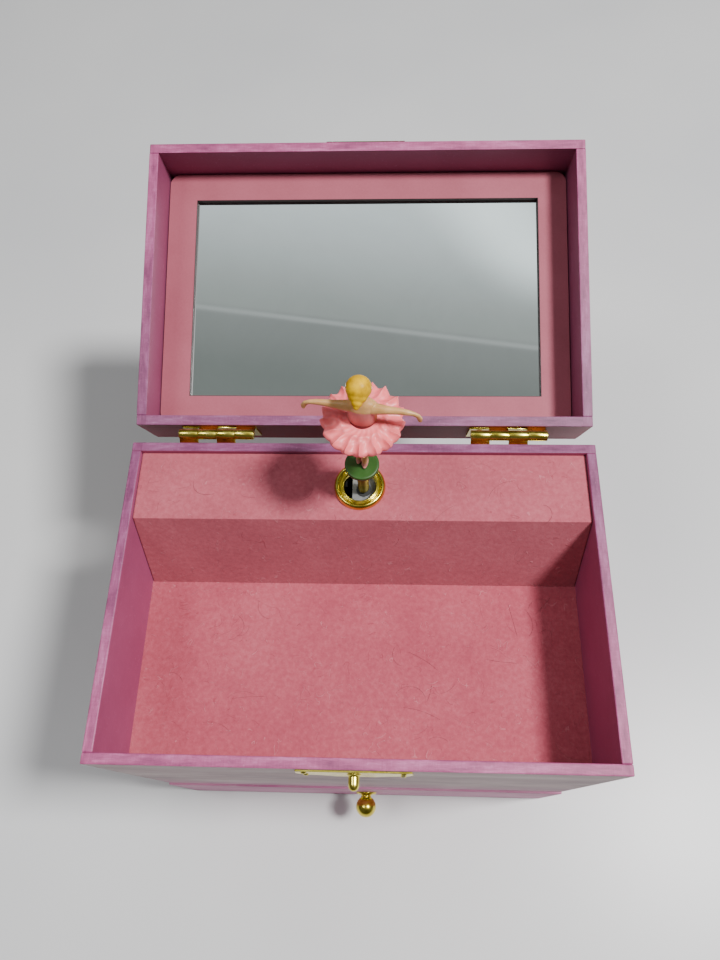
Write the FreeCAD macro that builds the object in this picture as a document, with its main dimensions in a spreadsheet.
import FreeCAD, Part
import os
import re

import Sketcher
from FreeCAD import Placement, Rotation, Vector

# Ballerina jewellery box.  Millimetres; X to the right, Y to the back, Z up.
# The origin is the middle of the case's underside.  The lid stands open.
DIMENSIONS = {
    # case
    "case_width": 155.0,
    "case_depth": 102.5,
    "case_height": 145.7,
    "wall_thick": 3.2,
    "base_thick": 2.6,
    "shelf_thick": 2.6,
    "drawer_top": 50.3,
    "tray_level": 113.3,
    "lining_thick": 0.8,
    "board_thick": 2.6,
    # folded card cover over the movement
    "cover_level": 144.0,
    "cover_edge": 24.3,
    "cover_foot": 12.2,
    "card_thick": 1.0,
    "card_hole": 6.15,
    # grommet in the cover
    "grommet_x": -0.2,
    "grommet_outer": 8.4,
    "grommet_hole": 5.2,
    "grommet_height": 1.9,
    # lid, given in its closed place
    "lid_height": 24.5,
    "lid_wall": 3.3,
    "lid_gap": 0.2,
    "lid_top_thick": 3.0,
    "lid_angle": 162.4,
    "frame_depth": 14.8,
    "frame_thick": 1.8,
    "frame_gap": 0.4,
    "window_half": 63.3,
    "window_front": -37.2,
    "window_rear": 37.5,
    "mirror_thick": 2.0,
    "mirror_margin": 5.0,
    # hinges
    "pin_offset": 3.4,
    "pin_level": 145.2,
    "hinge_width": 25.4,
    "hinge_centre": 49.3,
    "leaf_thick": 0.8,
    "leaf_length": 16.2,
    "knuckle_radius": 1.75,
    "pin_radius": 0.75,
    "pin_play": 0.05,
    "knuckle_gap": 0.05,
    # clasp
    "clasp_half": 17.0,
    "clasp_top": 144.6,
    "clasp_low": 127.0,
    "clasp_thick": 0.6,
    "stud_level": 139.2,
    "stud_radius": 1.6,
    "stud_length": 4.6,
    "hasp_low": 150.6,
    "hasp_top": 164.0,
    "flap_level": 150.2,
    "flap_offset": 1.7,
    "flap_radius": 1.0,
    "flap_half": 12.0,
    "flap_length": 15.5,
    "flap_thick": 0.6,
    "flap_hole": 2.0,
    # drawer
    "drawer_proud": 0.8,
    "drawer_gap": 0.4,
    "drawer_side": 2.5,
    "drawer_height": 46.0,
    "drawer_rear": 44.0,
    "drawer_floor": 3.0,
    "felt_thick": 0.6,
    "knob_x": 0.5,
    "knob_level": 25.0,
    "knob_ball": 4.2,
    "knob_neck": 2.1,
    "knob_reach": 5.6,
    # movement
    "shaft_x": 1.0,
    "shaft_y": 36.1,
    "barrel_level": 127.0,
    "barrel_radius": 12.0,
    "barrel_wall": 0.8,
    "barrel_front": 40.6,
    "barrel_rear": 45.6,
    "crown_inner": 9.9,
    "crown_height": 1.7,
    "crown_tooth": 0.9,
    "pinion_root": 2.2,
    "pinion_tip": 4.0,
    "pinion_tooth": 0.7,
    "arbor_radius": 1.5,
    "shaft_radius": 1.0,
    "play": 0.04,
    "bed_thick": 2.0,
    "bridge_level": 140.2,
    "bridge_thick": 1.2,
    "drum_radius": 4.5,
    "fan_level": 136.6,
    "wheel_root": 6.3,
    "wheel_tip": 7.5,
    "wheel_tooth": 0.65,
    "fan_root": 1.5,
    "fan_tip": 2.85,
    "fan_tooth": 0.55,
    # dancer
    "coil_radius": 1.85,
    "coil_bore": 1.15,
    "coil_low": 142.1,
    "coil_top": 159.0,
    "disc_radius": 5.35,
    "disc_low": 159.7,
    "disc_thick": 1.6,
    "frame_corner": 4.0,
    "spring_wide": 2.6,
    "drum_length": 18.6,
    "drum_pin": 0.2,
    "drum_pin_proud": 0.5,
    "pin_pitch": 0.98,
    "tutu_radius": 11.9,
    "tutu_hole": 3.35,
    "tutu_low": 186.0,
    "tutu_thick": 3.4,
    "head_level": 203.9,
    "head_radius": 3.1,
    "arm_level": 196.2,
    "arm_reach": 15.0,
    "yaw": -7.5,
}
CROWN_TEETH = 24
PINION_TEETH = 8
COMB_TEETH = 18
PINS_A_TOOTH = 4
TOOTH_SWING = 137.5
TURN_SWING = 83.0
RISE = Vector(0, 0, 1)
RIGHT = Vector(1, 0, 0)
BACK = Vector(0, 1, 0)
STILL = Placement()

doc = FreeCAD.newDocument("BallerinaBox")
sheet = doc.addObject("Spreadsheet::Sheet", "Dims")
for row, (alias, amount) in enumerate(DIMENSIONS.items(), start=1):
    sheet.set(f"A{row}", alias)
    sheet.set(f"B{row}", str(amount))
    sheet.setAlias(f"B{row}", alias)
doc.recompute()
nodes = []


def linked(expression):
    """The expression with every name on the sheet made a reference to it."""
    return re.sub(r"[a-z]\w*", lambda word: "Dims." + word.group(), str(expression))


def number(expression):
    """What an expression on the sheet comes to."""
    return float(sheet.evalExpression(linked(expression)))


def bind(thing, prop, expression):
    thing.setExpression(prop, linked(expression))


def point(x, y, z):
    return Vector(number(x), number(y), number(z))


def keep(thing, label):
    """Mark a finished sub-part, named by its label."""
    thing.Label = label
    nodes.append(thing)
    return thing


# ---------------------------------------------------------------- primitives
def board(name, x, y, z, pose=STILL):
    """A rectangular board between pairs of limits."""
    box = doc.addObject("Part::Box", name)
    for prop, (low, high) in zip(("Length", "Width", "Height"), (x, y, z)):
        bind(box, prop, f"({high}) - ({low})")
    box.Placement = pose * Placement(point(x[0], y[0], z[0]), Rotation())
    return box


def rod(name, radius, start, axis, length, pose=STILL):
    """A round rod from a start point along an axis."""
    cylinder = doc.addObject("Part::Cylinder", name)
    bind(cylinder, "Radius", radius)
    bind(cylinder, "Height", length)
    cylinder.Placement = pose * Placement(point(*start), Rotation(RISE, axis))
    return cylinder


def taper(name, low_radius, high_radius, start, axis, length, pose=STILL):
    cone = doc.addObject("Part::Cone", name)
    bind(cone, "Radius1", low_radius)
    bind(cone, "Radius2", high_radius)
    bind(cone, "Height", length)
    cone.Placement = pose * Placement(point(*start), Rotation(RISE, axis))
    return cone


def ball(name, radius, centre, pose=STILL):
    sphere = doc.addObject("Part::Sphere", name)
    bind(sphere, "Radius", radius)
    sphere.Placement = pose * Placement(point(*centre), Rotation())
    return sphere


def cut(name, base, tool):
    result = doc.addObject("Part::Cut", name)
    result.Base = base
    result.Tool = tool
    return result


def fuse(name, pieces):
    result = doc.addObject("Part::MultiFuse", name)
    result.Shapes = pieces
    return result


def group(label, pieces):
    """Identical pieces kept together as one sub-part of separate solids."""
    result = doc.addObject("Part::Compound", label)
    result.Links = pieces
    return keep(result, label)


# ------------------------------------------------------------ part design
def origin_feature(body, role):
    return next(item for item in body.Origin.OriginFeatures if item.Role == role)


def new_body(label, finished=True):
    body = doc.addObject("PartDesign::Body", label)
    body.Label = label
    return keep(body, label) if finished else body


def new_sketch(body, plane, name, lift="0"):
    sketch = body.newObject("Sketcher::SketchObject", name)
    sketch.AttachmentSupport = (origin_feature(body, plane), [""])
    sketch.MapMode = "FlatFace"
    bind(sketch, "AttachmentOffset.Base.z", lift)
    return sketch


def outline(sketch, corners):
    """A closed outline through (x, y) corners, each tied to the sheet."""
    first = sketch.GeometryCount
    spots = [Vector(number(x), number(y), 0) for x, y in corners]
    count = len(spots)
    for index, spot in enumerate(spots):
        sketch.addGeometry(Part.LineSegment(spot, spots[(index + 1) % count]), False)
    for index in range(count):
        following = first + (index + 1) % count
        sketch.addConstraint(Sketcher.Constraint("Coincident", first + index, 2, following, 1))
    for index, (corner, spot) in enumerate(zip(corners, spots)):
        for kind, expression, value in zip(("DistanceX", "DistanceY"), corner, spot):
            constraint = Sketcher.Constraint(kind, -1, 1, first + index, 1, value)
            place = sketch.addConstraint(constraint)
            bind(sketch, f"Constraints[{place}]", expression)


def rectangle(sketch, x, y):
    outline(sketch, [(x[0], y[0]), (x[1], y[0]), (x[1], y[1]), (x[0], y[1])])


def ring(sketch, radius, x="0", y="0"):
    """A circle with its centre and radius tied to the sheet."""
    centre = Vector(number(x), number(y), 0)
    index = sketch.addGeometry(Part.Circle(centre, RISE, number(radius)), False)
    size = sketch.addConstraint(Sketcher.Constraint("Radius", index, number(radius)))
    bind(sketch, f"Constraints[{size}]", radius)
    for kind, expression in (("DistanceX", x), ("DistanceY", y)):
        constraint = Sketcher.Constraint(kind, -1, 1, index, 3, number(expression))
        place = sketch.addConstraint(constraint)
        bind(sketch, f"Constraints[{place}]", expression)


def pad(body, sketch, length, name="Pad"):
    feature = body.newObject("PartDesign::Pad", name)
    feature.Profile = sketch
    bind(feature, "Length", length)
    return feature


def pocket(body, sketch, length, name="Pocket"):
    feature = body.newObject("PartDesign::Pocket", name)
    feature.Profile = sketch
    bind(feature, "Length", length)
    feature.Reversed = True
    return feature


def turned(label, corners, place):
    """A piece turned about its own Z axis from (radius, height) corners."""
    body = new_body(label)
    sketch = new_sketch(body, "XZ_Plane", label + "_profile")
    outline(sketch, corners)
    feature = body.newObject("PartDesign::Revolution", label + "_turn")
    feature.Profile = sketch
    feature.ReferenceAxis = (origin_feature(body, "Z_Axis"), [""])
    feature.Angle = 360.0
    body.Placement = place
    return body


def around(body, features, count):
    """Repeat features evenly about the body's Z axis."""
    pattern = body.newObject("PartDesign::PolarPattern", "Around")
    pattern.Originals = features
    pattern.Axis = (origin_feature(body, "Z_Axis"), [""])
    pattern.Angle = 360.0
    pattern.Occurrences = count
    body.Tip = pattern
    return pattern


def along(body, features, length, count):
    """Repeat features in a row along the body's X axis."""
    pattern = body.newObject("PartDesign::LinearPattern", "Along")
    pattern.Originals = features
    pattern.Direction = (origin_feature(body, "X_Axis"), [""])
    bind(pattern, "Length", length)
    pattern.Occurrences = count
    body.Tip = pattern
    return pattern


def toothed(label, teeth, root, tip, tooth, bore, width, place, finished=True):
    """A spur gear with straight teeth about its own Z axis."""
    body = new_body(label, finished)
    blank = new_sketch(body, "XY_Plane", label + "_blank")
    ring(blank, root)
    ring(blank, bore)
    pad(body, blank, width)
    sketch = new_sketch(body, "XY_Plane", label + "_tooth")
    rectangle(sketch, (f"{root} - 0.2", tip), (f"-{tooth} / 2", f"{tooth} / 2"))
    around(body, [pad(body, sketch, width, "Tooth")], teeth)
    body.Placement = place
    return body


# --------------------------------------------------------------- fasteners
def fastener(radius, head_high, shank_radius, shank_long):
    """Domed head standing on Z = 0 with its shank below."""
    head = Part.makeCone(radius, radius * 0.7, head_high)
    shank = Part.makeCylinder(shank_radius, shank_long, Vector(0, 0, -shank_long))
    return head.fuse(shank)


def fasteners(spots, axis, sizes):
    """Identical nails or screws whose heads face along an axis."""
    solids = []
    for spot in spots:
        solid = fastener(*sizes)
        solid.Placement = Placement(point(*spot), Rotation(RISE, axis))
        solids.append(solid)
    return solids


def fastener_group(label, solids, pose=STILL):
    pieces = doc.addObject("Part::Feature", label)
    pieces.Shape = Part.makeCompound(solids)
    pieces.Placement = pose
    return keep(pieces, label)


# Head radius, head height, shank radius and shank length.
SMALL_NAIL = (0.9, 0.4, 0.4, 2.6)
HINGE_NAIL = (1.2, 0.5, 0.5, 3.0)
BRIDGE_SCREW = (0.9, 0.5, 0.5, 3.4)
COMB_SCREW = (1.3, 0.9, 0.6, 2.4)
BED_SCREW = (1.6, 1.0, 0.8, 4.6)

PIN_Y = "case_depth / 2 + pin_offset"
LID_OPEN = Placement(
    Vector(0, 0, 0),
    Rotation(RIGHT, -number("lid_angle")),
    Vector(0, number(PIN_Y), number("pin_level")),
)
HALF_X = "case_width / 2"
HALF_Y = "case_depth / 2"
INNER_X = f"{HALF_X} - wall_thick"
INNER_Y = f"{HALF_Y} - wall_thick"


def both(limit):
    """Limits the same distance either side of the middle."""
    return (f"-({limit})", limit)


# --------------------------------------------------------------------- case
def make_case():
    sides = {"left": (f"-({HALF_X})", f"-({INNER_X})"), "right": (INNER_X, HALF_X)}
    for side, limits in sides.items():
        label = side + "_wall"
        keep(board(label, limits, both(INNER_Y), ("0", "case_height")), label)
    front = (f"-({HALF_Y})", f"-({INNER_Y})")
    keep(board("front_panel", both(HALF_X), front, ("drawer_top", "case_height")), "front_panel")
    blank = board("rear_blank", both(HALF_X), (INNER_Y, HALF_Y), ("0", "case_height"))
    key_hole = rod("key_hole", "3.5", ("shaft_x", INNER_Y, "barrel_level"), BACK, "wall_thick")
    keep(cut("rear_wall", blank, key_hole), "rear_wall")
    inside = (both(INNER_X), both(INNER_Y))
    keep(board("base_panel", *inside, ("0", "base_thick")), "base_panel")
    ceiling = ("drawer_top", "drawer_top + shelf_thick")
    keep(board("drawer_ceiling", *inside, ceiling), "drawer_ceiling")
    lining_low = "tray_level - lining_thick"
    tray = (f"{lining_low} - board_thick", lining_low)
    keep(board("tray_board", *inside, tray), "tray_board")
    lining_y = (f"-({INNER_Y})", "cover_foot + 2")
    lining = board("tray_lining", both(INNER_X), lining_y, (lining_low, "tray_level"))
    keep(lining, "tray_lining")


def make_cover():
    """Card folded over the movement: a level platform and a slanted front."""
    body = new_body("music_cover")
    sketch = new_sketch(body, "YZ_Plane", "cover_profile")
    under = "cover_level - card_thick"
    slant = "card_thick * 1.075"
    profile = [
        ("cover_foot", "tray_level"),
        (f"cover_foot + {slant}", "tray_level"),
        (f"cover_edge + {slant} * 0.63", under),
        (INNER_Y, under),
        (INNER_Y, "cover_level"),
        ("cover_edge", "cover_level"),
    ]
    outline(sketch, profile)
    pad(body, sketch, f"2 * ({INNER_X}) - 0.2")
    hole = new_sketch(body, "XY_Plane", "cover_hole", under)
    ring(hole, "card_hole", f"grommet_x + ({INNER_X}) - 0.1", "shaft_y")
    pocket(body, hole, "card_thick")
    body.Placement = Placement(point(f"0.1 - ({INNER_X})", "0", "0"), Rotation())

    barrel = "card_hole - 0.05"
    top = "grommet_height"
    profile = [
        ("grommet_hole", "-1.8"),
        ("grommet_hole + 0.4", "-1.8"),
        ("7.1", "-1.75"),
        ("7.1", "-1.05"),
        (barrel, "-1.05"),
        (barrel, "0.02"),
        ("grommet_outer", "0.02"),
        ("grommet_outer", f"{top} * 0.4"),
        ("grommet_outer - 0.6", f"{top} * 0.85"),
        ("grommet_outer - 1.4", top),
        ("grommet_outer - 2.2", f"{top} * 0.85"),
        ("grommet_hole + 0.4", f"{top} * 0.6"),
        ("grommet_hole", f"{top} * 0.3"),
    ]
    place = Placement(point("grommet_x", "shaft_y", "cover_level"), Rotation())
    turned("platform_grommet", profile, place)


def scalloped(body, sketch_name, half, low, high):
    """Ornamental plate outline: a straight middle with stepped ends."""
    sketch = new_sketch(body, "XZ_Plane", sketch_name)
    third = f"({high} - ({low})) / 3"
    outline(sketch, [
        (f"-({half}) * 0.35", low),
        (f"{half} * 0.35", low),
        (f"{half} * 0.6", f"{low} + {third} * 0.7"),
        (f"{half} * 0.9", f"{low} + {third}"),
        (half, f"{low} + {third} * 1.9"),
        (f"{half} * 0.97", high),
        (f"-({half}) * 0.97", high),
        (f"-({half})", f"{low} + {third} * 1.9"),
        (f"-({half}) * 0.9", f"{low} + {third}"),
        (f"-({half}) * 0.6", f"{low} + {third} * 0.7"),
    ])
    return sketch


def make_clasp():
    face = Placement(point("0", f"-({HALF_Y})", "0"), Rotation())
    body = new_body("clasp_plate")
    plate = scalloped(body, "clasp_outline", "clasp_half", "clasp_low", "clasp_top")
    pad(body, plate, "clasp_thick")
    body.Placement = face
    stud_base = f"-({HALF_Y}) - clasp_thick"
    corners = [
        ("0", "0"),
        ("stud_radius + 0.4", "0"),
        ("stud_radius", "0.5"),
        ("stud_radius", "stud_length * 0.55"),
        ("stud_radius * 0.7", "stud_length * 0.88"),
        ("0", "stud_length"),
    ]
    place = Placement(point("0", stud_base, "stud_level"), Rotation(RISE, -BACK))
    turned("clasp_stud", corners, place)
    spots = [(x, stud_base, z) for x in ("-14.2", "14.2") for z in ("142.3", "135.2")]
    case_nails = fasteners(spots, -BACK, SMALL_NAIL)

    backing = new_body("hasp_backing", finished=False)
    plate = scalloped(backing, "hasp_outline", "clasp_half", "hasp_low", "hasp_top")
    pad(backing, plate, "clasp_thick")
    backing.Placement = LID_OPEN * face
    spots = [(x, stud_base, "159.8") for x in ("-14.5", "14.5")]
    lid_nails = fasteners(spots, -BACK, SMALL_NAIL)

    # The flap turns on a pin carried by two lugs at the plate's ends.
    flap_y = f"-({HALF_Y}) - flap_offset"
    lugs = [backing]
    for side, start in (("left", "-flap_half - 2.1"), ("right", "flap_half + 0.1")):
        eye = rod(side + "_eye", "flap_radius", (start, flap_y, "flap_level"), RIGHT, "2", LID_OPEN)
        foot_y = (f"{flap_y} + 0.2", f"-({HALF_Y})")
        foot_z = ("flap_level - 0.4", "hasp_low + 0.6")
        foot = board(side + "_foot", (start, f"{start} + 2"), foot_y, foot_z, LID_OPEN)
        solid = fuse(side + "_lug_blank", [eye, foot])
        bore_at = (start, flap_y, "flap_level")
        bore = rod(side + "_lug_bore", "0.5", bore_at, RIGHT, "2", LID_OPEN)
        lugs.append(cut(side + "_lug", solid, bore))
    keep(fuse("hasp_plate", lugs), "hasp_plate")
    pin_at = ("-flap_half - 2.1", flap_y, "flap_level")
    keep(rod("hasp_pin", "0.5", pin_at, RIGHT, "2 * flap_half + 4.2", LID_OPEN), "hasp_pin")

    body = new_body("hasp_flap")
    sketch = new_sketch(body, "XZ_Plane", "flap_outline")
    outline(sketch, [
        ("-flap_half", "0.75"),
        ("flap_half", "0.75"),
        ("flap_half", "flap_length * 0.4"),
        ("flap_half * 0.45", "flap_length"),
        ("-flap_half * 0.45", "flap_length"),
        ("-flap_half", "flap_length * 0.4"),
    ])
    ring(sketch, "flap_hole", "0", "flap_level - stud_level")
    pad(body, sketch, "flap_thick")
    tube = new_sketch(body, "YZ_Plane", "flap_tube", "-flap_half")
    ring(tube, "flap_radius", "-flap_thick / 2", "0")
    ring(tube, "0.5 + play", "-flap_thick / 2", "0")
    pad(body, tube, "2 * flap_half", "Tube")
    flap_at = point("0", f"{flap_y} + flap_thick / 2", "flap_level")
    body.Placement = LID_OPEN * Placement(flap_at, Rotation())
    return case_nails, lid_nails


# ---------------------------------------------------------------------- lid
def make_lid():
    rim = "case_height + lid_gap"
    top = "case_height + lid_height"
    under = f"{top} - lid_top_thick"
    inner_x = f"{HALF_X} - lid_wall"
    inner_y = f"{HALF_Y} - lid_wall"
    tall = (rim, under)
    walls = {
        "lid_left_wall": ((f"-({HALF_X})", f"-({inner_x})"), both(inner_y)),
        "lid_right_wall": ((inner_x, HALF_X), both(inner_y)),
        "lid_front_wall": (both(HALF_X), (f"-({HALF_Y})", f"-({inner_y})")),
        "lid_rear_wall": (both(HALF_X), (inner_y, HALF_Y)),
    }
    for label, (x, y) in walls.items():
        keep(board(label, x, y, tall, LID_OPEN), label)
    panel = board("lid_top_panel", both(HALF_X), both(HALF_Y), (under, top), LID_OPEN)
    keep(panel, "lid_top_panel")

    face = "case_height + frame_depth"
    body = new_body("mirror_frame")
    sketch = new_sketch(body, "XY_Plane", "frame_outline")
    rectangle(sketch, both(f"{inner_x} - frame_gap"), both(f"{inner_y} - frame_gap"))
    rectangle(sketch, both("window_half"), ("window_front", "window_rear"))
    card = pad(body, sketch, "frame_thick")
    doc.recompute()
    corners = []
    for index, edge in enumerate(card.Shape.Edges, start=1):
        ends = [vertex.Point for vertex in edge.Vertexes]
        upright = abs(ends[0].z - ends[-1].z) > 0.5
        if upright and abs(ends[0].x) > number("window_half") + 1:
            corners.append(f"Edge{index}")
    rounding = body.newObject("PartDesign::Fillet", "frame_corners")
    rounding.Base = (card, corners)
    bind(rounding, "Radius", "frame_corner")
    body.Placement = LID_OPEN * Placement(point("0", "0", face), Rotation())

    glass_low = f"{face} + frame_thick"
    glass = (glass_low, f"{glass_low} + mirror_thick")
    glass_x = both("window_half + mirror_margin")
    glass_y = ("window_front - mirror_margin", "window_rear + mirror_margin")
    keep(board("mirror", glass_x, glass_y, glass, LID_OPEN), "mirror")
    pad_z = (f"{glass_low} + mirror_thick", under)
    keep(board("mirror_backing", glass_x, glass_y, pad_z, LID_OPEN), "mirror_backing")


# ------------------------------------------------------------------- hinges
def leaf(label, left, upward, first, pose, bore):
    """A hinge leaf below or above the pin, with every second knuckle."""
    body = new_body(label, finished=False)
    sign = "1" if upward else "-1"
    plate = new_sketch(body, "YZ_Plane", label + "_plate")
    inner = "-pin_offset"
    outer = "leaf_thick - pin_offset"
    outline(plate, [
        (inner, f"{sign} * 2.6"),
        (outer, f"{sign} * 2.6"),
        (outer, f"{sign} * leaf_length"),
        (inner, f"{sign} * leaf_length"),
    ])
    pad(body, plate, "hinge_width", "Plate")
    knuckle = "hinge_width / 4"
    offset = f"{knuckle} * {first} + knuckle_gap"
    web = new_sketch(body, "YZ_Plane", label + "_web", offset)
    outline(web, [
        (inner, f"{sign} * 2.8"),
        (inner, f"{sign} * 1.9"),
        ("-1.5", f"{sign} * 0.1"),
        ("-0.75", f"{sign} * 1.2"),
        (outer, f"{sign} * 2.8"),
    ])
    width = f"{knuckle} - 2 * knuckle_gap"
    web_pad = pad(body, web, width, "Web")
    barrel = new_sketch(body, "YZ_Plane", label + "_barrel", offset)
    ring(barrel, "knuckle_radius")
    ring(barrel, bore)
    barrel_pad = pad(body, barrel, width, "Barrel")
    along(body, [web_pad, barrel_pad], f"2 * {knuckle}", 2)
    place = Placement(point(left, PIN_Y, "pin_level"), Rotation())
    body.Placement = pose * place
    return body


def make_hinges(case_nails, lid_nails):
    starts = {
        "left": "-hinge_centre - hinge_width / 2",
        "right": "hinge_centre - hinge_width / 2",
    }
    case_spots = []
    lid_spots = []
    case_leaves = []
    lid_leaves = []
    pins = []
    loose = "pin_radius + pin_play"
    for side, left in starts.items():
        case_leaves.append(leaf(side + "_case_leaf", left, False, "0", STILL, "pin_radius"))
        lid_leaves.append(leaf(side + "_lid_leaf", left, True, "1", LID_OPEN, loose))
        start = (left, PIN_Y, "pin_level")
        pins.append(rod(side + "_pin", "pin_radius", start, RIGHT, "hinge_width"))
        for part in ("0.14", "0.5", "0.86"):
            x = f"{left} + {part} * hinge_width"
            drop = "12.4" if part == "0.5" else "6.8"
            face = f"{HALF_Y} + leaf_thick"
            case_spots.append((x, face, f"pin_level - {drop}"))
            lid_spots.append((x, face, f"pin_level + {drop}"))
    group("case_hinge_leaves", case_leaves)
    group("lid_hinge_leaves", lid_leaves)
    group("hinge_pins", pins)
    fastener_group("case_nails", case_nails + fasteners(case_spots, BACK, HINGE_NAIL))
    fastener_group("lid_nails", lid_nails + fasteners(lid_spots, BACK, HINGE_NAIL), LID_OPEN)


# ------------------------------------------------------------------- drawer
def make_drawer():
    front_back = f"-({INNER_Y}) - drawer_gap"
    front = (f"-({HALF_Y}) - drawer_proud", front_back)
    high = ("0.5", "drawer_top - drawer_gap")
    blank = board("drawer_front_blank", both(f"{HALF_X} - 0.2"), front, high)
    bore_at = ("knob_x", f"-({HALF_Y}) - drawer_proud", "knob_level")
    bore = rod("drawer_front_bore", "1.2", bore_at, BACK, "6")
    keep(cut("drawer_front", blank, bore), "drawer_front")
    outer = f"{INNER_X} - 0.6"
    inner = f"{outer} - drawer_side"
    rise = ("drawer_floor", "drawer_height")
    run = (front_back, "drawer_rear")
    left = board("drawer_left_side", (f"-({outer})", f"-({inner})"), run, rise)
    keep(left, "drawer_left_side")
    keep(board("drawer_right_side", (inner, outer), run, rise), "drawer_right_side")
    back = ("drawer_rear - drawer_side", "drawer_rear")
    keep(board("drawer_back", both(inner), back, rise), "drawer_back")
    run = (front_back, "drawer_rear - drawer_side")
    bottom = ("drawer_floor + 0.5", "drawer_floor + 2.5")
    keep(board("drawer_bottom", both(inner), run, bottom), "drawer_bottom")
    felt = ("drawer_floor + 2.5", "drawer_floor + 2.5 + felt_thick")
    keep(board("drawer_lining", both(inner), run, felt), "drawer_lining")

    centre = "knob_reach"
    body = new_body("drawer_knob")
    sketch = new_sketch(body, "XZ_Plane", "knob_profile")
    outline(sketch, [
        ("1.2", "0"),
        ("4.2", "0"),
        ("4.2", "0.6"),
        ("3.4", "1.0"),
        ("knob_neck", "1.3"),
        ("knob_neck", centre),
        ("1.2", centre),
    ])
    stem = body.newObject("PartDesign::Revolution", "knob_stem")
    stem.Profile = sketch
    stem.ReferenceAxis = (origin_feature(body, "Z_Axis"), [""])
    stem.Angle = 360.0
    doc.recompute()
    bulb = body.newObject("PartDesign::AdditiveSphere", "knob_bulb")
    bind(bulb, "Radius", "knob_ball")
    bind(bulb, "AttachmentOffset.Base.z", centre)
    bulb.AttachmentSupport = (origin_feature(body, "XY_Plane"), [""])
    bulb.MapMode = "FlatFace"
    doc.recompute()
    bore = new_sketch(body, "XY_Plane", "knob_bore")
    ring(bore, "1.2")
    pocket(body, bore, f"{centre} - 0.4")
    place = Placement(point(*bore_at), Rotation(RISE, -BACK))
    body.Placement = place
    profile = [
        ("0", "-5.6"),
        ("2.6", "-5.6"),
        ("2.6", "-4.0"),
        ("1.2", "-4.0"),
        ("1.2", f"{centre} - 0.6"),
        ("0", f"{centre} - 0.6"),
    ]
    turned("knob_screw", profile, place)


# ----------------------------------------------------------------- movement
def make_bed():
    """Cast bed: floor, back plate and the uprights that carry the arbors."""
    floor = "tray_level - lining_thick"
    top = f"{floor} + bed_thick"
    left = "shaft_x - 49"
    right = "shaft_x + 17"
    base = board("bed_floor", (left, right), ("19", INNER_Y), (floor, top))
    back = board("bed_back", (left, right), (f"{INNER_Y} - bed_thick", INNER_Y), (top, "bridge_level"))
    uprights = [
        ("near", "shaft_x - 9.2", "barrel_level + 2.6", "38.3"),
        ("middle", "shaft_x - 34.5", "fan_level + 2.6", "39.2"),
        ("far", "shaft_x - 47.4", "fan_level + 2.6", "39.2"),
    ]
    pieces = [base, back]
    for name, x, high, rear in uprights:
        pieces.append(board(name + "_upright", (x, f"{x} + 1.4"), ("33", rear), (top, high)))
    rest_x = ("shaft_x - 31.8", "shaft_x - 14.2")
    pieces.append(board("comb_rest", rest_x, ("21", "25"), (top, "barrel_level - 0.4")))
    solid = fuse("bed_solid", pieces)
    bores = [
        rod("bore_arbor", "arbor_radius + play", ("shaft_x", "40", "barrel_level"), BACK, "9"),
        rod("bore_drum", "shaft_radius + play", (left, "shaft_y", "barrel_level"), RIGHT, "46"),
        rod("bore_fan", "0.6 + play", (left, "shaft_y", "fan_level"), RIGHT, "20"),
    ]
    keep(cut("movement_bed", solid, fuse("bed_bores", bores)), "movement_bed")

    body = new_body("movement_bridge")
    sketch = new_sketch(body, "YZ_Plane", "bridge_profile")
    high = "bridge_level + bridge_thick"
    low = "bridge_level - 8.2"
    outline(sketch, [
        ("28.3", low),
        ("38.3", low),
        ("38.3", f"{low} + bridge_thick"),
        ("28.3 + bridge_thick", f"{low} + bridge_thick"),
        ("28.3 + bridge_thick", "bridge_level"),
        (INNER_Y, "bridge_level"),
        (INNER_Y, high),
        ("28.3", high),
    ])
    pad(body, sketch, "15")
    upper = new_sketch(body, "XY_Plane", "bush_seat", "bridge_level")
    ring(upper, "2.4", "3.8", "shaft_y")
    pocket(body, upper, "bridge_thick", "Seat")
    lower = new_sketch(body, "XY_Plane", "step_bore", low)
    ring(lower, "shaft_radius + play", "3.8", "shaft_y")
    pocket(body, lower, "bridge_thick", "Step")
    body.Placement = Placement(point("shaft_x - 3.8", "0", "0"), Rotation())
    profile = [
        ("shaft_radius + play", "-0.3"),
        ("2.4", "-0.3"),
        ("2.4", "bridge_thick + 0.4"),
        ("shaft_radius + play", "bridge_thick + 0.4"),
    ]
    place = Placement(point("shaft_x", "shaft_y", "bridge_level"), Rotation())
    turned("shaft_bush", profile, place)
    spots = [(x, f"{INNER_Y} - bed_thick / 2", high) for x in ("shaft_x - 2.2", "shaft_x + 9")]
    screws = fasteners(spots, RISE, BRIDGE_SCREW)
    spots = [(x, "23", "barrel_level + 0.4") for x in ("shaft_x - 29", "shaft_x - 17")]
    screws += fasteners(spots, RISE, COMB_SCREW)
    spots = []
    for x in ("shaft_x - 40", "shaft_x + 14"):
        for z in ("118.5", "135.5"):
            spots.append((x, f"{INNER_Y} - bed_thick", z))
    fastener_group("movement_screws", screws + fasteners(spots, -BACK, BED_SCREW))


def make_comb():
    body = new_body("tone_comb")
    plate = new_sketch(body, "XY_Plane", "comb_plate")
    rectangle(plate, ("0", "17.6"), ("21", "shaft_y - drum_radius - 0.75"))
    pad(body, plate, "0.8")
    slot = new_sketch(body, "XY_Plane", "comb_slot")
    pitch = f"17.6 / {COMB_TEETH}"
    slot_x = (f"{pitch} - 0.12", f"{pitch} + 0.12")
    rectangle(slot, slot_x, ("25.6", "shaft_y - drum_radius + 1"))
    first = pocket(body, slot, "0.8")
    along(body, [first], f"{pitch} * {COMB_TEETH - 2}", COMB_TEETH - 1)
    place = point("shaft_x - 31.8", "0", "barrel_level - 0.4")
    body.Placement = Placement(place, Rotation())


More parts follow.
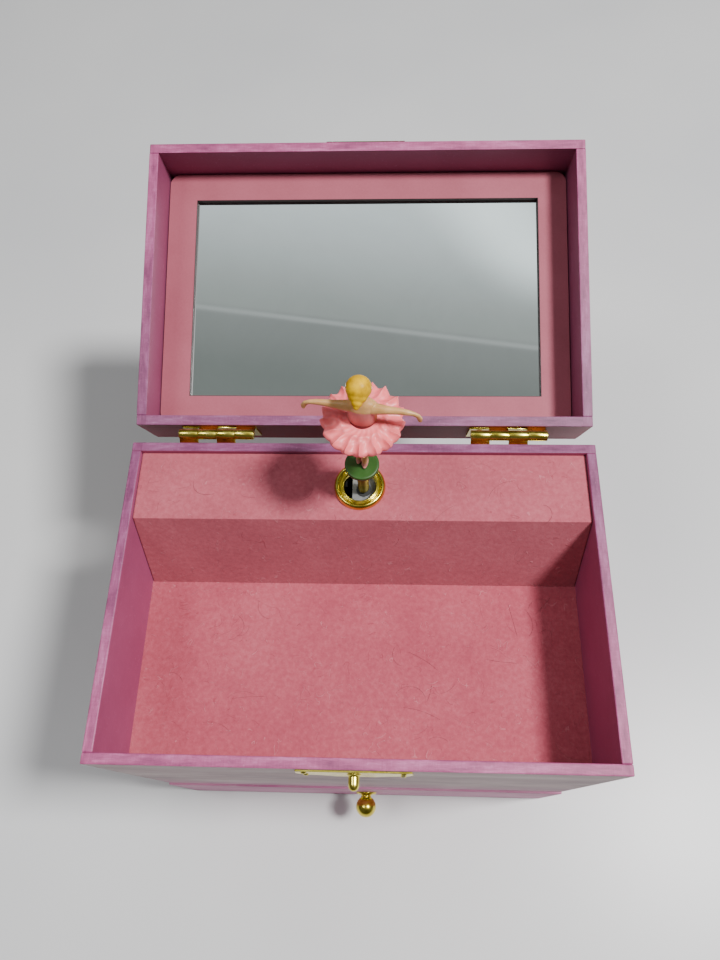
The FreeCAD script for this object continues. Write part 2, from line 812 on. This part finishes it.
def make_barrel():
    """Spring barrel with crown teeth on its front, spring and winding arbor."""
    facing = Rotation(RIGHT, 90)
    deep = "barrel_rear - barrel_front"
    inner = "barrel_radius - barrel_wall"
    hub = "arbor_radius + play"
    body = turned("spring_barrel", [
        (hub, f"{deep} - 1"),
        (inner, f"{deep} - 1"),
        (inner, "0.8"),
        ("barrel_radius", "0.8"),
        ("barrel_radius", deep),
        (hub, deep),
    ], Placement(point("shaft_x", "barrel_rear", "barrel_level"), facing))
    tooth = new_sketch(body, "XY_Plane", "crown_tooth_outline", f"{deep} - 0.2")
    wide = ("-crown_tooth / 2", "crown_tooth / 2")
    rectangle(tooth, ("crown_inner", "barrel_radius - 0.05"), wide)
    around(body, [pad(body, tooth, "crown_height + 0.2", "CrownTooth")], CROWN_TEETH)

    cap = [(hub, "0"), ("barrel_radius", "0"), ("barrel_radius", "0.8"), (hub, "0.8")]
    place = Placement(point("shaft_x", "barrel_rear", "barrel_level"), facing)
    turned("barrel_cap", cap, place)

    # Mainspring: a ribbon of half circles about two centres.
    step = 0.55
    turns = 22
    thick = 0.22
    hub_radius = number("arbor_radius + spring_wide")
    edges = []
    for side in (-thick / 2, thick / 2):
        for half in range(turns):
            radius = hub_radius + half * step / 2 + side
            centre = Vector(-(step / 4) * (-1) ** half, 0, 0)
            swing = 1 if half % 2 == 0 else -1
            start = centre + Vector(radius * swing, 0, 0)
            middle = centre + Vector(0, radius * swing, 0)
            end = centre - Vector(radius * swing, 0, 0)
            edges.append(Part.Arc(start, middle, end).toShape())
    inner_edges = edges[:turns]
    outer_edges = edges[turns:]
    starts = [chain[0].firstVertex(True).Point for chain in (inner_edges, outer_edges)]
    ends = [chain[-1].lastVertex(True).Point for chain in (inner_edges, outer_edges)]
    closing = [Part.makeLine(*starts), Part.makeLine(*ends)]
    wire = Part.Wire(Part.__sortEdges__(inner_edges + outer_edges + closing))
    ribbon = doc.addObject("Part::Feature", "mainspring")
    ribbon.Shape = Part.Face(wire).extrude(Vector(0, 0, number("spring_wide")))
    ribbon.Placement = Placement(point("shaft_x", "barrel_rear - 1", "barrel_level"), facing)
    keep(ribbon, "mainspring")

    start = ("shaft_x", "barrel_front - 0.7", "barrel_level")
    keep(rod("winding_arbor", "arbor_radius", start, BACK, "20.2"), "winding_arbor")
    sleeve_y = f"{HALF_Y} + 0.65"
    sleeve = rod("key_sleeve", "2.6", ("shaft_x", sleeve_y, "barrel_level"), BACK, "3.6")
    wing_x = ("shaft_x - 6.6", "shaft_x + 6.6")
    wing_z = ("barrel_level - 0.65", "barrel_level + 0.65")
    wing = board("key_wing", wing_x, (f"{sleeve_y} + 2.4", f"{sleeve_y} + 8.2"), wing_z)
    solid = fuse("key_solid", [sleeve, wing])
    bore = rod("key_bore", "arbor_radius", start, BACK, "20.2")
    keep(cut("winding_key", solid, bore), "winding_key")


def make_train():
    """Output shaft, pinned drum and the air brake, in mesh at rest."""
    start = ("shaft_x", "shaft_y", "bridge_level - 8.8")
    keep(rod("output_shaft", "shaft_radius", start, RISE, "16"), "output_shaft")
    half_pitch = Rotation(RISE, 180 / PINION_TEETH)
    upright = Placement(point("shaft_x", "shaft_y", "barrel_level + crown_inner - 0.2"), half_pitch)
    sizes = ("pinion_root", "pinion_tip", "pinion_tooth", "shaft_radius", "2.7")
    toothed("output_pinion", PINION_TEETH, *sizes, upright)
    lying = Rotation(BACK, 90)
    place = Placement(point("shaft_x - 12.3", "shaft_y", "barrel_level"), lying * half_pitch)
    toothed("drum_pinion", PINION_TEETH, *sizes, place)
    start = ("shaft_x - 37.5", "shaft_y", "barrel_level")
    keep(rod("drum_arbor", "shaft_radius", start, RIGHT, "30.2"), "drum_arbor")

    long = number("drum_length")
    shell = Part.makeCylinder(number("drum_radius"), long)
    bore = Part.makeCylinder(number("shaft_radius"), long)
    reach = number("drum_radius + drum_pin_proud")
    pins = []
    for tooth in range(COMB_TEETH):
        for turn in range(PINS_A_TOOTH):
            pin = Part.makeCylinder(number("drum_pin"), reach, Vector(0, 0, 0), RIGHT)
            pin.translate(Vector(0, 0, number("pin_pitch") * (tooth + 1)))
            pin.rotate(Vector(0, 0, 0), RISE, TOOTH_SWING * tooth + TURN_SWING * turn)
            pins.append(pin)
    drum = doc.addObject("Part::Feature", "music_drum")
    drum.Shape = shell.fuse(pins).cut(bore)
    drum.Placement = Placement(point("shaft_x - 32.5", "shaft_y", "barrel_level"), lying)
    keep(drum, "music_drum")

    place = Placement(point("shaft_x - 37.3", "shaft_y", "barrel_level"), lying)
    sizes = ("wheel_root", "wheel_tip", "wheel_tooth", "shaft_radius", "1.6")
    toothed("drum_wheel", CROWN_TEETH, *sizes, place)
    place = Placement(point("shaft_x - 37.6", "shaft_y", "fan_level"), lying * half_pitch)
    sizes = ("fan_root", "fan_tip", "fan_tooth", "0.6", "2.2")
    pinion = toothed("fan_pinion", PINION_TEETH, *sizes, place, finished=False)
    start = ("shaft_x - 47.7", "shaft_y", "fan_level")
    spindle = rod("fan_spindle", "0.6", start, RIGHT, "15")
    blade_x = ("shaft_x - 44.8", "shaft_x - 38.8")
    blade_y = ("shaft_y - 0.3", "shaft_y + 0.3")
    blade = board("fan_blade", blade_x, blade_y, ("fan_level - 3.4", "fan_level + 3.4"))
    keep(fuse("speed_fan", [spindle, blade, pinion]), "speed_fan")


# ------------------------------------------------------------------- dancer
def make_dancer():
    axis = ("shaft_x", "shaft_y")
    stand = Placement(point(*axis, "0"), Rotation(RISE, number("yaw")))
    turned("coil_spring", [
        ("coil_bore", "coil_low"),
        ("coil_radius", "coil_low"),
        ("coil_radius", "coil_top"),
        ("coil_bore", "coil_top"),
    ], stand)
    disc_top = "disc_low + disc_thick"
    turned("spring_collar", [
        ("0", "coil_top - 3"),
        ("1", "coil_top - 3"),
        ("1", "coil_top + 0.1"),
        ("2.4", "coil_top + 0.1"),
        ("2.4", "disc_low - 0.1"),
        ("1", "disc_low - 0.1"),
        ("1", f"{disc_top} - 0.4"),
        ("0", f"{disc_top} - 0.4"),
    ], stand)
    turned("turntable_disc", [
        ("1 + play", "disc_low"),
        ("disc_radius - 0.3", "disc_low"),
        ("disc_radius", "disc_low + 0.3"),
        ("disc_radius", f"{disc_top} - 0.3"),
        ("disc_radius - 0.3", disc_top),
        ("0", disc_top),
        ("0", f"{disc_top} - 0.3"),
        ("1 + play", f"{disc_top} - 0.3"),
    ], stand)
    neck = "arm_level + 2.4"
    pieces = [
        taper("dancer_feet", "1.6", "1.1", ("0", "0", disc_top), RISE, "3", stand),
        taper("dancer_legs", "1.1", "2.6", ("0", "0", f"{disc_top} + 3"), RISE, "20", stand),
        rod("dancer_hips", "3.3", ("0", "0", "tutu_low - 2"), RISE, "6", stand),
        taper("dancer_chest", "3.3", "3.9", ("0", "0", "tutu_low + 4"), RISE, "6", stand),
        taper("dancer_shoulders", "3.9", "1.1", ("0", "0", "tutu_low + 10"), RISE, "3", stand),
        rod("dancer_neck", "1.1", ("0", "0", neck), RISE, "4", stand),
        ball("dancer_head", "head_radius", ("0", "0", "head_level"), stand),
        taper("dancer_right_arm", "1.3", "0.7", ("2", "0", "arm_level"), RIGHT, "arm_reach - 2", stand),
        taper("dancer_left_arm", "1.3", "0.7", ("-2", "0", "arm_level"), -RIGHT, "arm_reach - 2", stand),
    ]
    keep(fuse("dancer_figure", pieces), "dancer_figure")
    rim = "tutu_radius"
    turned("dancer_tutu", [
        ("tutu_hole", "tutu_low + 0.8"),
        ("7", "tutu_low + 0.6"),
        (rim, "tutu_low"),
        (rim, "tutu_low + tutu_thick - 0.6"),
        ("7", "tutu_low + tutu_thick"),
        ("tutu_hole", "tutu_low + tutu_thick"),
    ], stand)
    cap = ball("hair_cap", "head_radius + 0.35", ("0", "-0.5", "head_level + 0.35"), stand)
    bun = ball("hair_bun", "1.8", ("0", "-3.1", "head_level + 0.4"), stand)
    skull = ball("hair_skull", "head_radius + 0.02", ("0", "0", "head_level"), stand)
    nape = rod("hair_nape", "1.15", ("0", "0", neck), RISE, "4", stand)
    inside = fuse("hair_inside", [skull, nape])
    keep(cut("dancer_hair", fuse("hair_solid", [cap, bun]), inside), "dancer_hair")


make_case()
make_cover()
make_lid()
make_hinges(*make_clasp())
make_drawer()
make_bed()
make_comb()
make_barrel()
make_train()
make_dancer()
doc.recompute()

troubled = [item.Label for item in doc.Objects if {"Invalid", "Error"} & set(item.State)]
if troubled:
    raise RuntimeError("objects that did not build: " + ", ".join(troubled))
for node in nodes:
    if node.Shape.isNull() or not node.Shape.isValid():
        raise RuntimeError("no valid shape for " + node.Label)
    if not node.Shape.Solids:
        raise RuntimeError("no solid in " + node.Label)

os.makedirs("parts", exist_ok=True)
for node in nodes:
    node.Shape.exportStep(f"parts/{node.Label}.step")
print(len(nodes), "sub-parts written")
